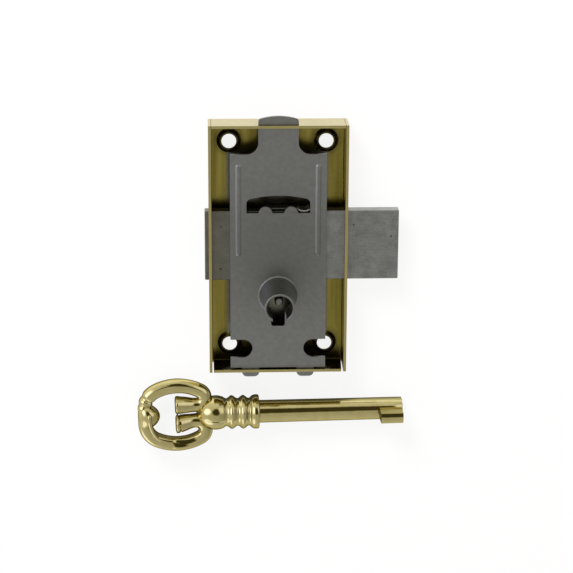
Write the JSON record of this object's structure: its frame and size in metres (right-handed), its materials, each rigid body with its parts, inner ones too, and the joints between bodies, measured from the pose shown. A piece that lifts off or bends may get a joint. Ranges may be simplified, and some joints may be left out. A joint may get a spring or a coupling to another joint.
{
  "type": "rim lock",
  "caption": "Surface rim lock with a folded brass case, drawn steel cover with key tube, sliding deadbolt, detent spring and a loose barrel key.",
  "frame": {"origin": "centre of the four screw holes, on the outer face of the back plate", "axes": "+X the way the bolt is thrown, +Y up along the case, +Z out of the open side towards the door"},
  "size_m": [0.0888, 0.1149, 0.0252],
  "materials": {
    "case_brass": "polished brass-plated sheet",
    "cover_steel": "dull grey steel sheet",
    "bolt_steel": "brushed grey steel",
    "spring_steel": "bright spring steel",
    "stud_steel": "turned steel",
    "key_brass": "bright pale brass plating"
  },
  "bodies": {
    "lock": {"case": "case_brass", "cover": "cover_steel", "stop_stud": "stud_steel", "key_pin": "stud_steel"},
    "thrown_bolt": {"bolt": "bolt_steel", "detent_spring": "spring_steel"},
    "loose_key": {"key": "key_brass"}
  },
  "joints": [
    {"name": "bolt_throw", "type": "slide", "parent": "lock", "child": "thrown_bolt", "axis": [1, 0, 0], "range_m": [-0.0166, 0], "deforming": ["detent_spring"]},
    {"name": "key_lift", "type": "slide", "parent": "lock", "child": "loose_key", "axis": [0, 0, 1], "range_m": [0, 0.05]}
  ]
}
